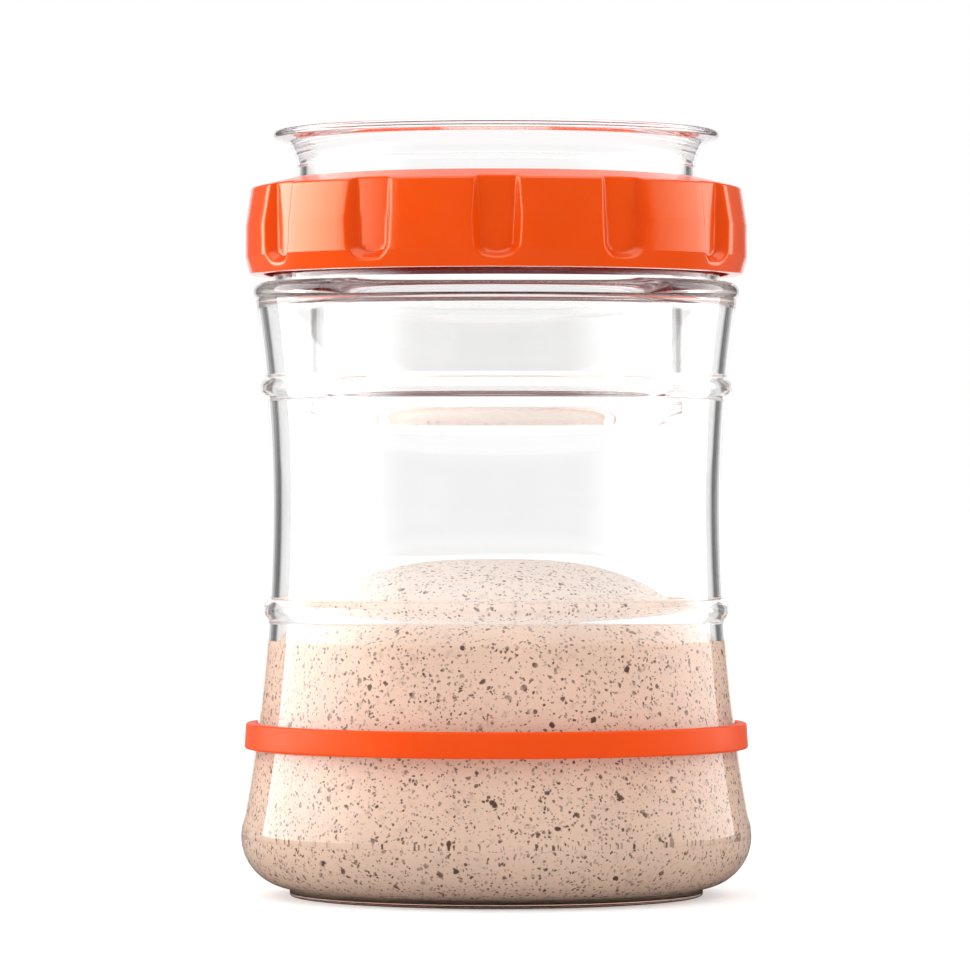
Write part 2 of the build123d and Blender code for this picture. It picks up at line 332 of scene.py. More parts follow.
def closed_mesh(name, radius, height, angle, loop):
    """Mesh of a turned surface from a grid of places.

    Row i and column j hold the place (radius cos angle, radius sin angle, height). Columns
    wrap round the axis. With loop the rows wrap too; otherwise the first and the last row
    lie on the axis, and each becomes one point.
    """
    rows, columns = radius.shape
    grid = np.stack([radius * np.cos(angle), radius * np.sin(angle), height], axis=-1)
    if loop:
        points = grid.reshape(-1, 3)
        index = np.arange(rows * columns).reshape(rows, columns)
        index = np.vstack([index, index[:1]])
        fans = np.zeros((0, 3), int)
    else:
        points = np.vstack([grid[1:-1].reshape(-1, 3), grid[0, :1], grid[-1, :1]])
        index = np.arange((rows - 2) * columns).reshape(rows - 2, columns)
        first, last = np.full(columns, len(points) - 2), np.full(columns, len(points) - 1)
        top = np.column_stack([first, np.roll(index[0], -1), index[0]])
        bottom = np.column_stack([last, index[-1], np.roll(index[-1], -1)])
        fans = np.vstack([top, bottom])
    a, b = index[:-1], index[1:]
    quads = np.stack([a, np.roll(a, -1, 1), np.roll(b, -1, 1), b], axis=-1).reshape(-1, 4)
    a, b, c, d = points[quads].transpose(1, 0, 2)
    if np.sum(a * (np.cross(b, c) + np.cross(c, d))) < 0:
        quads, fans = quads[:, ::-1], fans[:, ::-1]
    mesh = bpy.data.meshes.new(name)
    mesh.from_pydata(points, [], quads.tolist() + fans.tolist())
    mesh.shade_smooth()
    mesh.update()
    return mesh


def placed(name, data):
    """A new object in the scene that holds this data."""
    made = bpy.data.objects.new(name, data)
    bpy.context.scene.collection.objects.link(made)
    return made


def even_angles(columns):
    """This many angles, evenly round the axis."""
    return np.linspace(0, TURN, columns, endpoint=False)


def turned(name, profile, angles, shape=None, loop=False):
    """Object made by carrying a profile round the axis, with a column at each angle.

    shape may change it: it is called with the arrays of radius, height and angle, and
    returns those of radius and height.
    """
    profile = supported(profile)
    radius = np.repeat(profile[:, :1], len(angles), axis=1)
    height = np.repeat(profile[:, 1:], len(angles), axis=1)
    angle = np.repeat(angles[None], len(profile), axis=0)
    if shape is not None:
        radius, height = shape(radius, height, angle)
    return placed(name, closed_mesh(name, radius, height, angle, loop))


def thread(height, angle, lid, shift):
    """How far a two-start thread stands out at each place, from 0 to the thread's depth.

    The crest climbs one lead per turn. Across the crest the height falls as a raised
    cosine with a cut top, and at both ends of the thread it fades over half a pitch.
    """
    steepness = 1.4
    climb = height - lid.thread_low - shift - lid.thread_lead * angle / TURN
    off = np.abs((climb + lid.thread_pitch / 2) % lid.thread_pitch - lid.thread_pitch / 2)
    ridge = 0.5 + 0.5 * np.cos(np.pi * np.clip(off / lid.thread_half, 0, 1))
    fade = lid.thread_pitch / 2
    inside = np.minimum(height - lid.thread_low, lid.thread_high - height) / fade
    return lid.thread_depth * np.clip(ridge * steepness, 0, 1) * np.clip(inside, 0, 1)


def body_radius(height, jar):
    """Outer radius of the plain glass wall between belly and shoulder.

    Three arcs share their directions where they meet: the belly, the lower waist and the
    upper waist. Each stands upright at the belly or at the waist.
    """
    share = (jar.belly_turn - jar.belly_height) / (jar.waist_height - jar.belly_height)
    turn = jar.belly - share * (jar.belly - jar.waist)

    def bowed(level, rise, spread):
        """How far an arc leans aside at this level, when it leans by spread at rise."""
        arc = (rise**2 + spread**2) / (2 * spread)
        return arc - np.sqrt(np.maximum(arc**2 - level**2, 0))

    above = height - jar.waist_height
    belly = bowed(height - jar.belly_height, jar.belly_turn - jar.belly_height, jar.belly - turn)
    under = bowed(above, jar.waist_height - jar.belly_turn, turn - jar.waist)
    over = bowed(above, jar.shoulder_height - jar.waist_height, jar.shoulder - jar.waist)
    waist = jar.waist + np.where(above < 0, under, over)
    return np.where(height < jar.belly_turn, jar.belly - belly, waist)


def bead_radius(height, crest, section, level):
    """Radius of a moulded bead: a circle of the section radius with its crest at level."""
    reach = np.sqrt(np.maximum(section**2 - (height - level) ** 2, 0))
    return np.where(np.abs(height - level) < section, crest - section + reach, 0)


def outer_wall(height, jar):
    """Outer radius of the glass with its two body beads blended in."""
    radius = body_radius(height, jar)
    for crest, section, level in (
        (jar.low_bead, jar.low_bead_round, jar.low_bead_height),
        (jar.top_bead, jar.top_bead_round, jar.top_bead_height),
    ):
        bead = bead_radius(height, crest, section, level)
        radius = soft_max(radius, bead, jar.bead_blend)
    return radius


def inner_start(jar, gap):
    """Where the inside floor of the jar meets its heel, moved in by gap."""
    base = jar.floor + gap
    return (jar.belly - jar.wall - gap - (jar.belly_height - base), base)


def glass_profile(jar):
    """Section of the jar: under the foot, up the outside, over the rim and down the inside.

    The wall has places close together near its two beads and further apart elsewhere.
    """
    coarse, fine, near = 0.9 * MM, 0.25 * MM, 4 * MM
    foot_round, bore_round, inside_round = 0.4 * MM, 2 * MM, 1.5 * MM
    land = jar.foot - jar.foot_land
    r = np.linspace(0, land, 24)
    punt = places(r, jar.punt * (1 - (r / land) ** 2))
    foot = rounded([(land, 0), (jar.foot, 0), (jar.foot, jar.foot_height)], [foot_round])
    heel = upright_arc((jar.belly, jar.belly_height), (jar.foot, jar.foot_height), 40)[::-1]
    rise = spaced(jar.belly_height, jar.shoulder_height, coarse)
    for level in (jar.low_bead_height, jar.top_bead_height):
        close = spaced(level - near, level + near, fine)
        rise = np.union1d(rise[np.abs(rise - level) > near + 0.2 * MM], close)
    wall = places(outer_wall(rise, jar), rise)
    centre = jar.edge_bead - jar.edge_bead_round
    a = np.radians(np.linspace(-50, 90, 30))
    bead = circle((centre, jar.edge_bead_height), jar.edge_bead_round, a)
    ledge = jar.edge_bead_height + jar.edge_bead_round
    root = rounded(
        [(centre, ledge), (jar.neck, ledge), (jar.neck, ledge + 2 * jar.root_round)],
        [jar.root_round],
    )
    rise = spaced(ledge + 2 * jar.root_round, jar.rim - 2 * jar.rim_round, 0.22 * MM)
    neck = places(jar.neck, rise)
    turn, under = jar.shoulder_height, jar.shoulder_height - 3 * MM
    rim = rounded(
        [
            (jar.neck, jar.rim - 2 * jar.rim_round),
            (jar.neck, jar.rim),
            (jar.neck_bore, jar.rim),
            (jar.neck_bore, jar.bore_low),
            (float(body_radius(turn, jar)) - jar.wall, turn),
            (float(body_radius(under, jar)) - jar.wall, under),
        ],
        [jar.rim_round, jar.rim_round, bore_round, inside_round],
    )
    fall = spaced(under, jar.belly_height, 1.4 * MM)
    lining = places(body_radius(fall, jar) - jar.wall, fall)
    hollow = upright_arc((jar.belly - jar.wall, jar.belly_height), inner_start(jar, 0), 30)
    base = places(np.linspace(inner_start(jar, 0)[0], 0, 24), jar.floor)
    return joined(punt, foot, heel, wall, bead, root, neck, rim, lining, hollow, base)


# Materials


class Shader:
    """Node tree of a material, a lamp or the world, with short ways to add and link nodes."""

    def __init__(self, owner):
        self.owner, owner.use_nodes = owner, True
        self.tree = owner.node_tree
        self.tree.nodes.clear()
        kind = {bpy.types.World: "World", bpy.types.AreaLight: "Light"}.get(type(owner), "Material")
        self.out = self.tree.nodes.new("ShaderNodeOutput" + kind)

    def put(self, socket, value):
        """Links value to the socket if it is an output, and sets it otherwise."""
        if isinstance(value, bpy.types.NodeSocket):
            self.tree.links.new(value, socket)
        else:
            socket.default_value = value

    def add(self, kind, values=None, **settings):
        """A node of this kind, with its settings and its inputs by name or number."""
        made = self.tree.nodes.new("ShaderNode" + kind)
        for key, value in settings.items():
            setattr(made, key, value)
        for key, value in (values or {}).items():
            self.put(made.inputs[key], value)
        return made

    def maths(self, operation, a, b=0.0, clamp=False):
        """The result of a two-value sum."""
        return self.add("Math", {0: a, 1: b}, operation=operation, use_clamp=clamp).outputs[0]

    def times(self, a, b):
        """The product of two values."""
        return self.maths("MULTIPLY", a, b)

    def vector(self, operation, a, b):
        """The result of a sum of two vectors."""
        return self.add("VectorMath", {0: a, 1: b}, operation=operation).outputs[0]

    def mix(self, share, a, b):
        """Number a where share is 0 and b where it is 1."""
        return self.add("Mix", {"Factor": share, "A": a, "B": b}).outputs["Result"]

    def blend(self, share, a, b):
        """Colour a where share is 0 and b where it is 1."""
        made = self.add("Mix", {"Factor": share}, data_type="RGBA")
        self.put(made.inputs["A"], a)
        self.put(made.inputs["B"], b)
        return made.outputs["Result"]

    def ramp(self, value, low, high, floor=0.0, ceiling=1.0):
        """value brought from low..high to floor..ceiling, smoothly and no further."""
        made = self.add(
            "MapRange",
            {"Value": value, "From Min": low, "From Max": high, "To Min": floor, "To Max": ceiling},
            interpolation_type="SMOOTHSTEP",
        )
        return made.outputs["Result"]

    def noise(self, place, scale, detail):
        """Soft noise from 0 to 1 at this scale."""
        values = {"Vector": place, "Scale": scale, "Detail": detail, "Roughness": 0.5}
        return self.add("TexNoise", values).outputs["Fac"]

    def solid(self, relief, strength, depth, values):
        """A principled shader with these values, and a relief of this strength and depth."""
        bump = self.add("Bump", {"Strength": strength, "Distance": depth, "Height": relief})
        return self.add("BsdfPrincipled", {"Normal": bump.outputs["Normal"], **values}).outputs[0]

    def surface(self, shader):
        """Shows this shader."""
        self.tree.links.new(shader, self.out.inputs["Surface"])
        return self.owner


def rgba(colour, gain=1.0):
    """A colour with full alpha, brightened by gain."""
    return (*[min(1.0, c * gain) for c in colour], 1.0)


def clear_shader(name, tint, ior, roughness, waviness, scale):
    """Clear glass or plastic with faint waves, through which lamps still reach the inside."""
    s = Shader(bpy.data.materials.new(name))
    place = s.add("TexCoord").outputs["Object"]
    waves = s.noise(place, scale, 1.0)
    smear = s.ramp(s.noise(place, scale * 1.7, 2.0), 0.45, 0.75, roughness, roughness * 2.5)
    values = {"Base Color": rgba(tint), "Roughness": smear, "IOR": ior, "Transmission Weight": 1.0}
    body = s.solid(waves, waviness, 1.0 * MM, values)
    path = s.add("LightPath")
    through = s.maths("MAXIMUM", path.outputs["Is Shadow Ray"], path.outputs["Is Diffuse Ray"])
    clear = s.add("BsdfTransparent", {"Color": rgba(tint)})
    both = s.add("MixShader", {0: through, 1: body, 2: clear.outputs[0]})
    return s.surface(both.outputs[0])


def plastic_shader(name, tint, roughness, gloss, inner=None, bore=0.0, web=0.0, face=0.0):
    """Moulded plastic or silicone with fine grain and a slow change of tint and sheen.

    Nearer the axis than bore and below the height web it takes the inner colour, a painted
    shade that stands for the shade inside a ring. There and above the height face it is matt.
    """
    s = Shader(bpy.data.materials.new(name))
    place = s.add("TexCoord").outputs["Object"]
    cloud = s.noise(place, 35.0, 2.0)
    colour = s.blend(s.ramp(cloud, 0.3, 0.7), rgba(tint, 0.97), rgba(tint, 1.03))
    if inner is not None:
        flat = s.vector("MULTIPLY", place, (1, 1, 0))
        away = s.add("VectorMath", {0: flat}, operation="LENGTH").outputs["Value"]
        height = s.add("SeparateXYZ", {0: place}).outputs[2]
        # Painted shade: inside the bore and below the web the plastic takes the dark inner colour
        # and turns matt, in place of the shade that falls there.
        painted_shade_zone = s.maths("LESS_THAN", away, bore)
        painted_shade_zone = s.times(painted_shade_zone, s.maths("LESS_THAN", height, web))
        colour = s.blend(painted_shade_zone, colour, rgba(inner))
        matt = s.maths("MAXIMUM", painted_shade_zone, s.maths("GREATER_THAN", height, face))
        gloss = s.mix(matt, gloss, 0.04)
    sheen = s.ramp(s.noise(place, 220.0, 3.0), 0.3, 0.7, roughness * 0.85, roughness * 1.15)
    values = {
        "Base Color": colour,
        "Roughness": sheen,
        "IOR": 1.6,
        "Specular IOR Level": gloss,
        "Specular Tint": (1.0, 0.96, 0.65, 1.0),
        "Subsurface Weight": 0.06,
        "Subsurface Radius": (4 * MM, 1 * MM, 0.3 * MM),
        "Subsurface Scale": 1.0,
    }
    return s.surface(s.solid(s.noise(place, 2600.0, 2.0), 0.05, 0.1 * MM, values))


def speck_layer(s, place, cell, radii, share, softness):
    """Share of bran at each place.

    Space is cut into cells of the given width. A share of the cells hold one speck, with a
    random radius between both radii. These and the softness of its edge are shares of the
    cell.
    """
    values = {"Vector": place, "Scale": 1.0 / cell, "Randomness": 1.0}
    cells = s.add("TexVoronoi", values, feature="F1")
    pick = s.add("SeparateColor", {"Color": cells.outputs["Color"]})
    radius = s.ramp(pick.outputs[0], 0.0, 1.0, *radii)
    here = s.maths("LESS_THAN", pick.outputs[1], share)
    depth = s.maths("SUBTRACT", radius, cells.outputs["Distance"])
    edge = s.maths("ADD", s.maths("DIVIDE", depth, softness), 0.5, clamp=True)
    return s.times(edge, here)


def dough_shader(name, colours):
    """Starter dough: pale body with soft mottling, fine bran, larger flakes and buried ones, with
    painted shade towards the floor and painted light on the dome.
    """
    s = Shader(bpy.data.materials.new(name))
    place = s.add("TexCoord").outputs["Object"]
    wobble = s.add("TexNoise", {"Vector": place, "Scale": 900.0, "Detail": 1.0})
    shift = s.vector("SUBTRACT", wobble.outputs["Color"], (0.5, 0.5, 0.5))
    bent = s.vector("ADD", place, s.vector("MULTIPLY", shift, (1.1 * MM,) * 3))
    far = s.vector("ADD", bent, (0.37, 0.21, 0.13))
    cloud = s.noise(place, 60.0, 3.0)
    body = s.blend(s.ramp(cloud, 0.3, 0.7), rgba(colours.dough, 0.96), rgba(colours.dough, 1.05))
    height = s.add("SeparateXYZ", {0: place}).outputs[2]
    # Painted light: from about 51 mm upwards the starter turns to the paler crown colour, in place
    # of the light from above and the glass's veil on the dome.
    body = s.blend(s.ramp(height, 51 * MM, 64 * MM), body, rgba(colours.crown))
    # Painted shade: the starter darkens towards the floor, by a share of 0.22 at 4 mm that fades
    # out by 30 mm.
    body = s.blend(s.ramp(height, 4 * MM, 30 * MM, 0.22, 0.0), body, rgba(colours.heel))
    thin = s.ramp(height, 34 * MM, 66 * MM, 1.0, 0.85)
    few, rare = s.times(thin, 0.8), s.times(thin, 0.6)
    fine = speck_layer(s, bent, 0.8 * MM, (0.11, 0.36), thin, softness=0.12)
    more = speck_layer(s, far, 1.1 * MM, (0.10, 0.32), thin, softness=0.10)
    flakes = speck_layer(s, bent, 2.7 * MM, (0.08, 0.23), few, softness=0.06)
    seeds = speck_layer(s, bent, 6.5 * MM, (0.05, 0.115), rare, softness=0.025)
    buried = speck_layer(s, far, 2.2 * MM, (0.10, 0.34), 0.6, softness=0.35)
    tone = s.noise(place, 650.0, 1.0)
    strength = s.ramp(tone, 0.35, 0.65, 0.35, 0.95)
    fine = s.times(s.maths("MAXIMUM", fine, more), strength)
    flakes = s.times(flakes, s.ramp(tone, 0.35, 0.65, 0.55, 0.95))
    buried = s.times(buried, 0.16)
    dark = s.maths("MAXIMUM", s.maths("MAXIMUM", fine, buried), s.maths("MAXIMUM", flakes, seeds))
    dark = s.times(dark, s.ramp(height, 48 * MM, 62 * MM, 0.95, 0.8))
    colour = s.blend(dark, body, rgba(colours.speck))
    values = {
        "Base Color": colour,
        "Roughness": s.ramp(cloud, 0.2, 0.8, 0.45, 0.6),
        "Specular IOR Level": 0.08,
        "Subsurface Weight": 0.15,
        "Subsurface Radius": (4 * MM, 2 * MM, 1 * MM),
        "Subsurface Scale": 0.5,
    }
    return s.surface(s.solid(s.noise(place, 260.0, 4.0), 0.25, 0.5 * MM, values))


def give(piece, material, body, nodes):
    """Dresses a piece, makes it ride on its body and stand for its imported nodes."""
    piece.data.materials.append(material)
    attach(piece, body)
    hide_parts(*nodes)


def settings(context):
    """The four groups of values."""
    scene = context.scene
    return scene.starter_jar, scene.starter_lid, scene.starter_fill, scene.starter_colours


class STARTER_OT_glass(bpy.types.Operator):
    """Makes the glass jar with its beads and its thread"""

    bl_idname = "starter.glass"
    bl_label = "Glass jar"

    def execute(self, context):
        jar, lid, _, colours = settings(context)
        start = jar.edge_bead_height + jar.edge_bead_round + jar.root_round

        def threaded(radius, height, angle):
            """Adds how far the thread stands out to the radius of the neck."""
            on_neck = (np.abs(radius - jar.neck) < 0.01 * MM) & (height > start)
            return radius + np.where(on_neck, thread(height, angle, lid, 0), 0), height

        piece = turned("glass_jar_body", glass_profile(jar), even_angles(164), threaded)
        glass = clear_shader(
            "jar_glass", colours.glass, ior=1.5, roughness=0.004, waviness=0.05, scale=28.0
        )
        give(piece, glass, "jar", ["glass_jar"])
        return {"FINISHED"}


class STARTER_OT_dough(bpy.types.Operator):
    """Makes the starter that fills the lower half of the jar"""

    bl_idname = "starter.dough"
    bl_label = "Starter"

    def execute(self, context):
        jar, _, fill, colours = settings(context)
        gap = -fill.wetting
        heel = upright_arc(
            (jar.belly - jar.wall - gap, jar.belly_height), inner_start(jar, gap), 30
        )[::-1]
        base = places(np.linspace(0, inner_start(jar, gap)[0], 16), jar.floor + gap)

        def dome(radius):
            """Height of the dome: the crown less a drop that grows as a power of the radius."""
            return fill.crown - fill.crown_drop * (radius / fill.dome) ** fill.dome_power

        # Each pass takes the wall's radius at the last height, until nothing changes
        level = dome(jar.waist - jar.wall)
        for _ in range(20):
            level = float(dome(body_radius(level, jar) - jar.wall - gap))
        rise = spaced(jar.belly_height, level, 1.0 * MM)
        side = places(body_radius(rise, jar) - jar.wall - gap, rise)
        r = np.linspace(side[-1, 0], 0, 60)
        top = places(r, dome(r))
        profile = joined(base, heel, side, top)
        piece = turned("starter_dough_fill", profile, even_angles(160))
        give(piece, dough_shader("starter", colours), "jar", ["starter_dough"])
        return {"FINISHED"}


class STARTER_OT_band(bpy.types.Operator):
    """Makes the silicone band that marks the level"""

    bl_idname = "starter.band"
    bl_label = "Level band"

    def execute(self, context):
        jar, _, fill, colours = settings(context)
        foot = float(body_radius(fill.band_low, jar)) + fill.band_gap
        head = float(body_radius(fill.band_high, jar)) + fill.band_gap
        middle = (fill.band_low + fill.band_high) / 2
        outer = (foot + fill.band_foot + head + fill.band_top) / 2
        profile = rounded(
            [
                (outer, middle),
                (head + fill.band_top, fill.band_high),
                (head, fill.band_high),
                (foot, fill.band_low),
                (foot + fill.band_foot, fill.band_low),
                (outer, middle),
            ],
            [fill.band_round] * 4,
        )[:-1]
        piece = turned("level_band_loop", profile, even_angles(256), loop=True)
        rubber = plastic_shader("orange_silicone", colours.band, roughness=0.4, gloss=0.2)
        give(piece, rubber, "band", ["level_band"])
        return {"FINISHED"}


class STARTER_OT_ring(bpy.types.Operator):
    """Makes the screw ring with its grip notches and inner thread"""

    bl_idname = "starter.ring"
    bl_label = "Screw ring"

    def execute(self, context):
        _, lid, _, colours = settings(context)
        inner_low, outer_low, side, draft = 0.3 * MM, 0.35 * MM, 0.25 * MM, 3 * MM
        edge, web_end, web_root = lid.ring_round, 0.2 * MM, 0.3 * MM
        outline = rounded(
            [
                (lid.ring_bore, lid.ring_low + 3 * MM),
                (lid.ring_bore, lid.ring_low),
                (lid.ring_foot, lid.ring_low),
                (lid.ring, lid.ring_side),
                (lid.ring, lid.ring_draft),
                (lid.ring_edge_radius, lid.ring_edge),
                (lid.ring_opening, lid.ring_top),
                (lid.ring_opening, lid.seal_top),
                (lid.ring_bore, lid.seal_top),
                (lid.ring_bore, lid.seal_top - 2 * MM),
            ],
            [inner_low, outer_low, side, draft, edge, edge, web_end, web_root],
        )
        along = np.concatenate([[0], np.cumsum(np.hypot(*np.diff(outline, axis=0).T))])
        even = np.union1d(along, spaced(0, along[-1], 0.38 * MM))
        outline = places(*[np.interp(even, along, values) for values in outline.T])
        bore = spaced(lid.seal_top - 2 * MM, lid.ring_low + 3 * MM, 0.5 * MM)
        profile = joined(outline, places(lid.ring_bore, bore))[:-1]
        # Columns crowd at the walls of a notch, where the weight rises as a bell curve
        spread = TURN / lid.notches
        steps, wall_at, wall_width = 42, 4.6 * MM, 1.5 * MM
        u = np.linspace(-0.5, 0.5, 2001)
        aside = np.abs(lid.notch_floor * spread * u)
        weight = 0.35 + np.exp(-(((aside - wall_at) / wall_width) ** 2)) * 2.2
        total = np.concatenate([[0], np.cumsum((weight[1:] + weight[:-1]) / 2)])
        even = np.linspace(0, total[-1], steps, endpoint=False)
        local = np.interp(even, total, u) * spread
        middles = np.arange(lid.notches)[:, None] * spread - TURN / 4
        angles = (middles + local[None]).ravel()

        def notched(radius, height, angle):
            """Cuts the notches into the side and raises the thread on the bore.

            A notch's wall rises with the distance from its floor, which is a rectangle with
            round lower corners.
            """
            bore, clear = np.abs(radius - lid.ring_bore) < 0.01 * MM, 0.4 * MM
            inner = bore & (height < lid.seal_top - clear) & (height > lid.ring_low + clear)
            turn = (angle + TURN / 4 + spread / 2) % spread - spread / 2
            across = np.abs(lid.notch_floor * turn)
            share = (height - lid.notch_low) / (lid.ring_edge - lid.notch_low)
            half = lid.notch_low_half + (lid.notch_top_half - lid.notch_low_half) * share
            corner = lid.notch_corner
            past_side = across - half + corner
            past_floor = lid.notch_low - height + corner
            away = np.hypot(np.maximum(past_side, 0), np.maximum(past_floor, 0)) - corner
            away = np.maximum(away + np.minimum(np.maximum(past_side, past_floor), 0), 0)
            wall = lid.notch_floor + lid.notch_slope * away
            outer = radius > (lid.ring_bore + lid.notch_floor) / 2
            cut = soft_min(radius, wall, lid.notch_blend)
            radius = np.where(outer & (wall < radius + 2 * MM), cut, radius)
            ridge = thread(height, angle, lid, -lid.thread_pitch / 2)
            return radius - np.where(inner, ridge, 0), height

        piece = turned("screw_ring_shell", profile, angles, notched, loop=True)
        margin = 0.1 * MM
        # Painted shade: the inside of the ring's skirt and web is painted dark red, where shade
        # falls.
        plastic = plastic_shader(
            "orange_plastic",
            colours.orange,
            roughness=0.15,
            gloss=0.95,
            inner=colours.bore,
            bore=lid.ring_bore + margin,
            web=lid.seal_top + margin,
            face=lid.ring_edge,
        )
        give(piece, plastic, "ring", ["screw_ring"])
        return {"FINISHED"}


class STARTER_OT_seal(bpy.types.Operator):
    """Makes the silicone seal between ring, rim and cup"""

    bl_idname = "starter.seal"
    bl_label = "Lid seal"

    def execute(self, context):
        jar, lid, _, colours = settings(context)
        skirt = lid.seal_skirt - lid.seal_skirt_wall
        low_edge = low("lid_seal").z
        middle = (jar.rim + lid.seal_top) / 2
        corners = [
            (lid.seal, middle),
            (lid.seal, lid.seal_top),
            (lid.seal_bore, lid.seal_top),
            (lid.seal_bore, jar.rim),
            (skirt, jar.rim),
            (skirt, low_edge),
            (lid.seal_skirt, low_edge),
            (lid.seal_skirt, jar.rim),
            (lid.seal, jar.rim),
            (lid.seal, middle),
        ]
        profile = rounded(corners, [lid.seal_round] * 8)[:-1]
        piece = turned("lid_seal_gasket", profile, even_angles(160), loop=True)
        rubber = plastic_shader("seal_silicone", colours.seal, roughness=0.5, gloss=0.2)
        give(piece, rubber, "seal", ["lid_seal"])
        return {"FINISHED"}


class STARTER_OT_cup(bpy.types.Operator):
    """Makes the clear cup with its step and its flared lip"""

    bl_idname = "starter.cup"
    bl_label = "Clear cup"

    def execute(self, context):
        _, lid, _, colours = settings(context)
        r = np.linspace(0, lid.cup - lid.cup_corner * 0.8, 40)
        bow = lid.cup_sag * (r / lid.cup) ** 2
        corner = (lid.cup, lid.cup_low + lid.cup_sag)
        round_end = (r[-1], lid.cup_low + bow[-1])
        under = places(r, lid.cup_low + bow)
        turn = upright_arc((lid.cup, corner[1] + lid.cup_corner), round_end, 14)[::-1]
        lip = (lid.cup_top - lid.lip_low) / 2
        step = rounded(
            [
                (lid.cup, corner[1] + lid.cup_corner),
                (lid.cup, lid.seal_top),
                (lid.collar, lid.seal_top),
                (lid.collar, lid.flare),
            ],
            [0.3 * MM, 0.3 * MM],
        )
        flare = upright_arc((lid.collar, lid.flare), (lid.lip_root, lid.lip_root_height), 20)
        a = np.linspace(-np.pi / 2, np.pi / 2, 16)
        edge = circle((lid.lip - lip, lid.lip_low + lip), lip, a)
        inner, collar = lid.cup - lid.cup_wall, lid.collar - lid.cup_wall
        inside_step = lid.seal_top + lid.cup_wall
        corner_in = lid.cup_inner_corner
        base = lid.cup_low + lid.cup_wall
        r_in = np.linspace(inner - corner_in * 0.8, 0, 40)
        floor = places(r_in, base + lid.cup_sag * (r_in / inner) ** 2)
        fall = rounded(
            [
                (lid.lip - lip, lid.cup_top),
                (lid.mouth, lid.cup_top),
                (collar, lid.flare),
                (collar, inside_step),
                (inner, inside_step - (lid.collar - lid.cup)),
                (inner, base + lid.cup_sag + corner_in),
            ],
            [0.5 * MM, 3 * MM, 1.5 * MM, 1.5 * MM],
        )
        bend = upright_arc((inner, base + lid.cup_sag + corner_in), tuple(floor[0]), 14)
        profile = joined(under, turn, step, flare, edge, fall, bend, floor)
        piece = turned("clear_cup_insert", profile, even_angles(192))
        clear = clear_shader(
            "clear_plastic", colours.cup, ior=1.49, roughness=0.01, waviness=0.03, scale=40.0
        )
        give(piece, clear, "cup", ["clear_cup"])
        return {"FINISHED"}


def softbox(name, azimuth, half_angle, brightness, fade):
    """A soft lamp that stands beside the jar at this azimuth from the camera side.

    It spans half_angle to each side. Across its width the brightness rises from nothing at
    the edge nearer the camera to full at the share fade of the width.
    """
    data = bpy.data.lights.new(name, "AREA")
    data.shape = "RECTANGLE"
    data.size = 2 * SOFTBOX_AWAY * math.tan(half_angle)
    data.size_y = SOFTBOX_HIGH - SOFTBOX_LOW
    data.energy = brightness * math.pi * data.size * data.size_y
    s = Shader(data)
    across = s.add("SeparateXYZ", {0: s.add("TexCoord").outputs["UV"]}).outputs[0]
    if azimuth < 0:
        across = s.maths("SUBTRACT", 1.0, across)
    level = s.ramp(across, 0.0, fade)
    s.surface(s.add("Emission", {"Strength": level}).outputs[0])
    made = placed(name, data)
    x, y = SOFTBOX_AWAY * math.sin(azimuth), -SOFTBOX_AWAY * math.cos(azimuth)
    made.location = (x, y, (SOFTBOX_LOW + SOFTBOX_HIGH) / 2)
    made.rotation_euler = (math.pi / 2, 0, azimuth)
    made.visible_camera = False


def rays(s):
    """Three shares: rays that show what they meet, mirrored rays, and those inside glass."""
    ray = s.add("LightPath").outputs
    seen = s.maths("ADD", ray["Is Camera Ray"], ray["Is Transmission Ray"])
    seen = s.maths("ADD", seen, ray["Is Glossy Ray"], clamp=True)
    mirrored = s.maths("GREATER_THAN", ray["Glossy Depth"], 0.5)
    return seen, mirrored, s.maths("GREATER_THAN", ray["Transmission Depth"], 0.5)


def studio_level(s, way, within, steep, colours):
    """Brightness that mirrored rays meet along way.

    It is white behind the jar and where steep is 1. To rays from outer faces the sides are
    dim and the front is dark. To rays within glass the sides are pale past a dim gap, and
    the front is less so.
    """
    x, y, up = s.add("SeparateXYZ", {0: way}).outputs
    aside = s.maths("ABSOLUTE", s.maths("ARCTAN2", x, y))
    outer = s.ramp(aside, *FRONT_EDGE, colours.side, colours.front)
    inner = s.ramp(aside, *GAP_EDGE, colours.side, colours.within)
    inner = s.times(inner, s.ramp(aside, *WITHIN_EDGE, 1.0, WITHIN_FRONT))
    walls = s.mix(within, outer, inner)
    panel = s.ramp(aside, *PANEL_EDGE, 1.0, 0.0)
    top = s.mix(within, s.ramp(up, *PANEL_TOP, 1.0, PANEL_ABOVE), 1.0)
    panel = s.times(panel, top)
    return s.maths("MAXIMUM", s.maths("MAXIMUM", walls, panel), steep)


def sheet(name, corners, material):
    """A flat stage sheet through four corners."""
    mesh = bpy.data.meshes.new(name)
    mesh.from_pydata(corners, [], [tuple(range(4))])
    mesh.materials.append(material)
    made = placed(name, mesh)


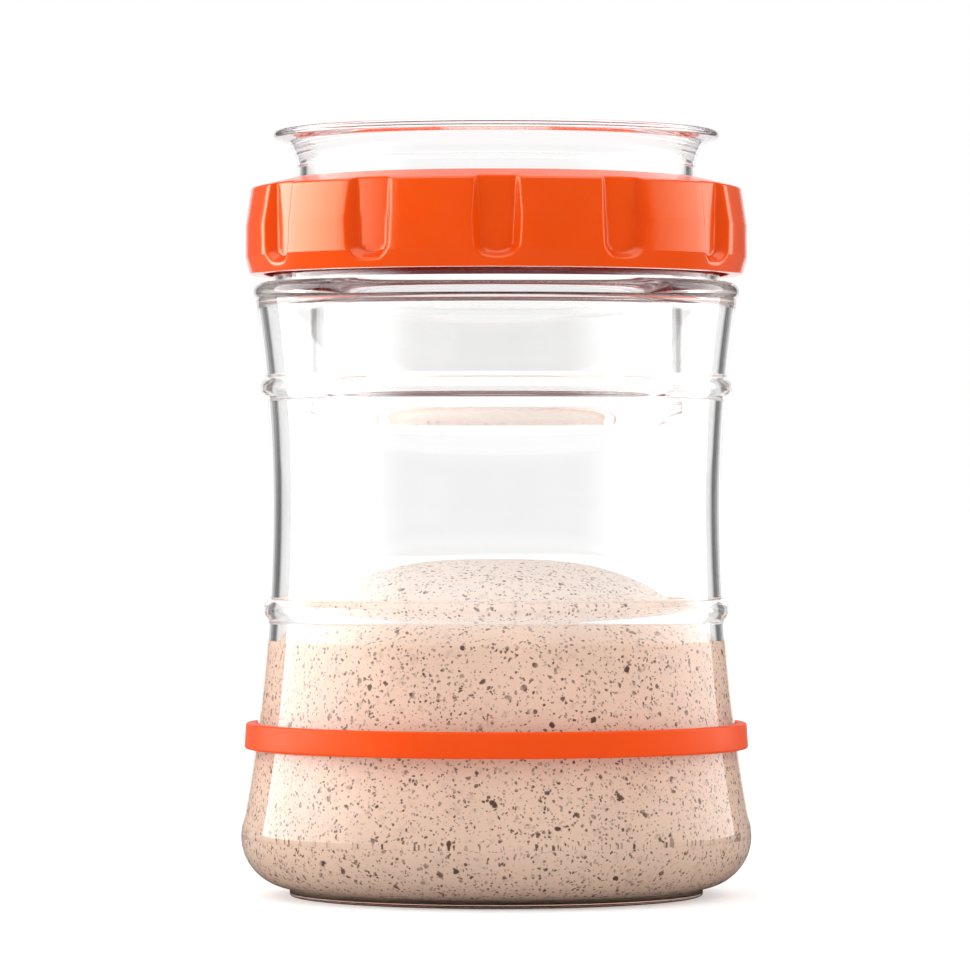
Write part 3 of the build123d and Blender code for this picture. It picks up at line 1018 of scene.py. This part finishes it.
class STARTER_OT_stage(bpy.types.Operator):
    """Makes the floor, the surroundings, the lamps and the camera"""

    bl_idname = "starter.stage"
    bl_label = "Stage"

    def execute(self, context):
        _, _, _, colours = settings(context)
        scene = context.scene
        scene.view_settings.view_transform = "Standard"
        # Rays turn many times within the beads, the lip and the thread
        scene.cycles.max_bounces = 64
        scene.cycles.glossy_bounces = 48
        scene.cycles.transmission_bounces = 48
        world = bpy.data.worlds.new("room")
        scene.world = world
        world.cycles.sampling_method = "NONE"
        s = Shader(world)
        seen, mirrored, within = rays(s)
        way = s.add("TexCoord").outputs["Generated"]
        up = s.maths("MAXIMUM", s.add("SeparateXYZ", {0: way}).outputs[2], 0.0)
        steep = s.mix(within, s.ramp(up, *OVERHEAD), s.ramp(up, *OVERHEAD_WITHIN))
        shown = studio_level(s, way, within, steep, colours)
        shown = s.mix(mirrored, 1.0, shown)
        ahead = s.times(s.add("SeparateXYZ", {0: way}).outputs[1], -1.0)
        lit = s.maths("ADD", s.times(up, colours.sky), colours.room)
        lit = s.maths("ADD", lit, s.times(s.maths("MAXIMUM", ahead, 0.0), colours.fill))
        strength = s.mix(seen, lit, shown)
        light = s.add("Background", {"Color": rgba((1, 1, 1)), "Strength": strength})
        s.surface(light.outputs[0])

        s = Shader(bpy.data.materials.new("pale_floor"))
        seen, mirrored, within = rays(s)
        glow = s.add("Emission", {"Strength": s.times(seen, colours.shine)})
        matt = s.add("BsdfDiffuse", {"Color": rgba(colours.floor)})
        both = s.add("AddShader", {0: matt.outputs[0], 1: glow.outputs[0]})
        way = s.add("TexCoord").outputs["Object"]
        away = s.add("VectorMath", {0: way}, operation="LENGTH").outputs["Value"]
        near = s.times(s.ramp(away, *FLOOR_NEAR, 1.0, 0.0), within)
        level = studio_level(s, way, within, near, colours)
        shade = s.times(mirrored, s.maths("SUBTRACT", 1.0, level))
        dark = s.add("Emission", {"Strength": 0.0})
        both = s.add("MixShader", {0: shade, 1: both.outputs[0], 2: dark.outputs[0]})
        half, under = 6.0, -0.15 * MM
        sides = ((-1, -1), (1, -1), (1, 1), (-1, 1))
        corners = [(x * half, y * half, under) for x, y in sides]
        sheet("floor", corners, s.surface(both.outputs[0]))

        turn, span = math.radians(-86.5), math.radians(41.5)
        softbox("softbox_left", turn, span, colours.softbox, fade=0.69)
        turn, span = math.radians(97.5), math.radians(35.5)
        softbox("softbox_right", turn, span, colours.softbox_right, fade=0.75)

        camera = bpy.data.cameras.new("camera")
        # The photo's measures in pixels: focal length, width, the jar's axis beside the
        # middle, and one millimetre at the jar
        focal_px, picture_px, aside_px, mm_px = 5900.0, 971.0, 11.3, 4.857
        eye_height = 84.19 * MM
        camera.sensor_width = 36.0
        camera.lens = camera.sensor_width * focal_px / picture_px
        made = placed("camera", camera)
        made.location = (-aside_px / mm_px * MM, -focal_px / mm_px * MM, eye_height)
        made.rotation_euler = (math.pi / 2, 0, 0)
        camera.clip_start, camera.clip_end = 0.05, 30.0
        scene.camera = made
        return {"FINISHED"}


class STARTER_PT_panel(bpy.types.Panel):
    """Lists the pieces and their values"""

    bl_label = "Starter Jar"
    bl_idname = "STARTER_PT_panel"
    bl_space_type = "VIEW_3D"
    bl_region_type = "UI"
    bl_category = "Starter Jar"

    def draw(self, context):
        for operator in OPERATORS:
            self.layout.operator(operator.bl_idname)
        for group in settings(context):
            box = self.layout.box()
            for name in type(group).__annotations__:
                box.prop(group, name)


OPERATORS = (
    STARTER_OT_stage,
    STARTER_OT_glass,
    STARTER_OT_dough,
    STARTER_OT_band,
    STARTER_OT_seal,
    STARTER_OT_ring,
    STARTER_OT_cup,
)
GROUPS = {
    "starter_jar": JarSizes,
    "starter_lid": LidSizes,
    "starter_fill": FillSizes,
    "starter_colours": JarColours,
}


def register():
    """Registers the values, the operators and the panel."""
    for name, group in GROUPS.items():
        bpy.utils.register_class(group)
        setattr(bpy.types.Scene, name, bpy.props.PointerProperty(type=group))
    for operator in OPERATORS:
        bpy.utils.register_class(operator)
    bpy.utils.register_class(STARTER_PT_panel)


def unregister():
    """Takes them all away again."""
    bpy.utils.unregister_class(STARTER_PT_panel)
    for operator in reversed(OPERATORS):
        bpy.utils.unregister_class(operator)
    for name, group in reversed(GROUPS.items()):
        delattr(bpy.types.Scene, name)
        bpy.utils.unregister_class(group)


def main():
    """Builds the stage and every piece."""
    register()
    bpy.ops.starter.stage()
    bpy.ops.starter.glass()
    bpy.ops.starter.dough()
    bpy.ops.starter.band()
    bpy.ops.starter.seal()
    bpy.ops.starter.ring()
    bpy.ops.starter.cup()


if __name__ == "__main__":
    main()
